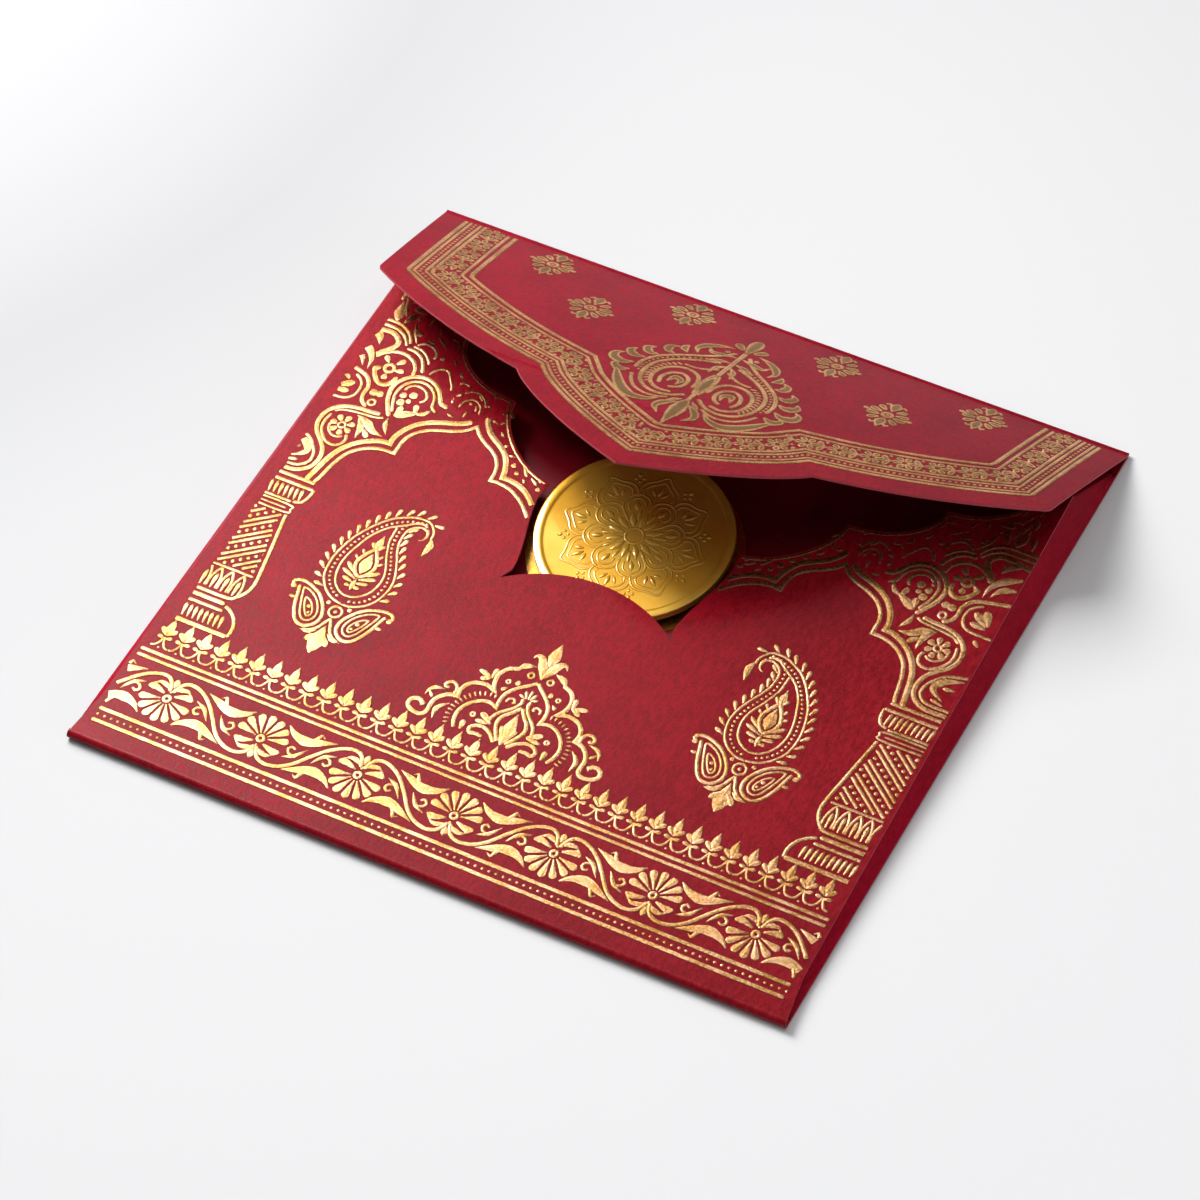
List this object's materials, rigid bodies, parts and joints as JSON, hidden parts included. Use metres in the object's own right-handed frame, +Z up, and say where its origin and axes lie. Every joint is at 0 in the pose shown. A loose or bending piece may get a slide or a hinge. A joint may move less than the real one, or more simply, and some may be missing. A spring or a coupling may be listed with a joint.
{
  "type": "gift money envelope",
  "caption": "Red card gift money envelope with a scalloped mouth, side gussets, a hinged ogee flap, gold foil ornament and a gold coin tucked behind a cut tab.",
  "frame": {"origin": "under the middle of the envelope, on the surface that it lies on", "axes": "+X across the envelope to the right, +Y from the bottom fold to the flap's crease, +Z up from the back panel to the front panel"},
  "size_m": [0.125, 0.123, 0.0263],
  "materials": {
    "card": "matt felt-marked card, stamped with gold foil",
    "lining": "smooth dark crimson paper",
    "foil_disc": "gold foil paper",
    "coin": "polished gold"
  },
  "bodies": {
    "wallet": {"back_panel": "card", "bottom_fold": "card", "front_panel": "card", "left_gusset": "card", "right_gusset": "card", "lining": "lining", "coin_seat": "foil_disc"},
    "lid": {"flap": "card", "flap_fold": "card"},
    "coin": {"coin": "coin"}
  },
  "joints": [
    {"name": "flap_hinge", "type": "hinge", "parent": "wallet", "child": "lid", "pos_m": [0, 0.06105, 0.0005], "axis": [1, 0, 0], "range_deg": [-152, 6]},
    {"name": "coin_slide", "type": "slide", "parent": "wallet", "child": "coin", "axis": [0, 0.9973, 0.0732], "range_m": [0, 0.012]}
  ]
}
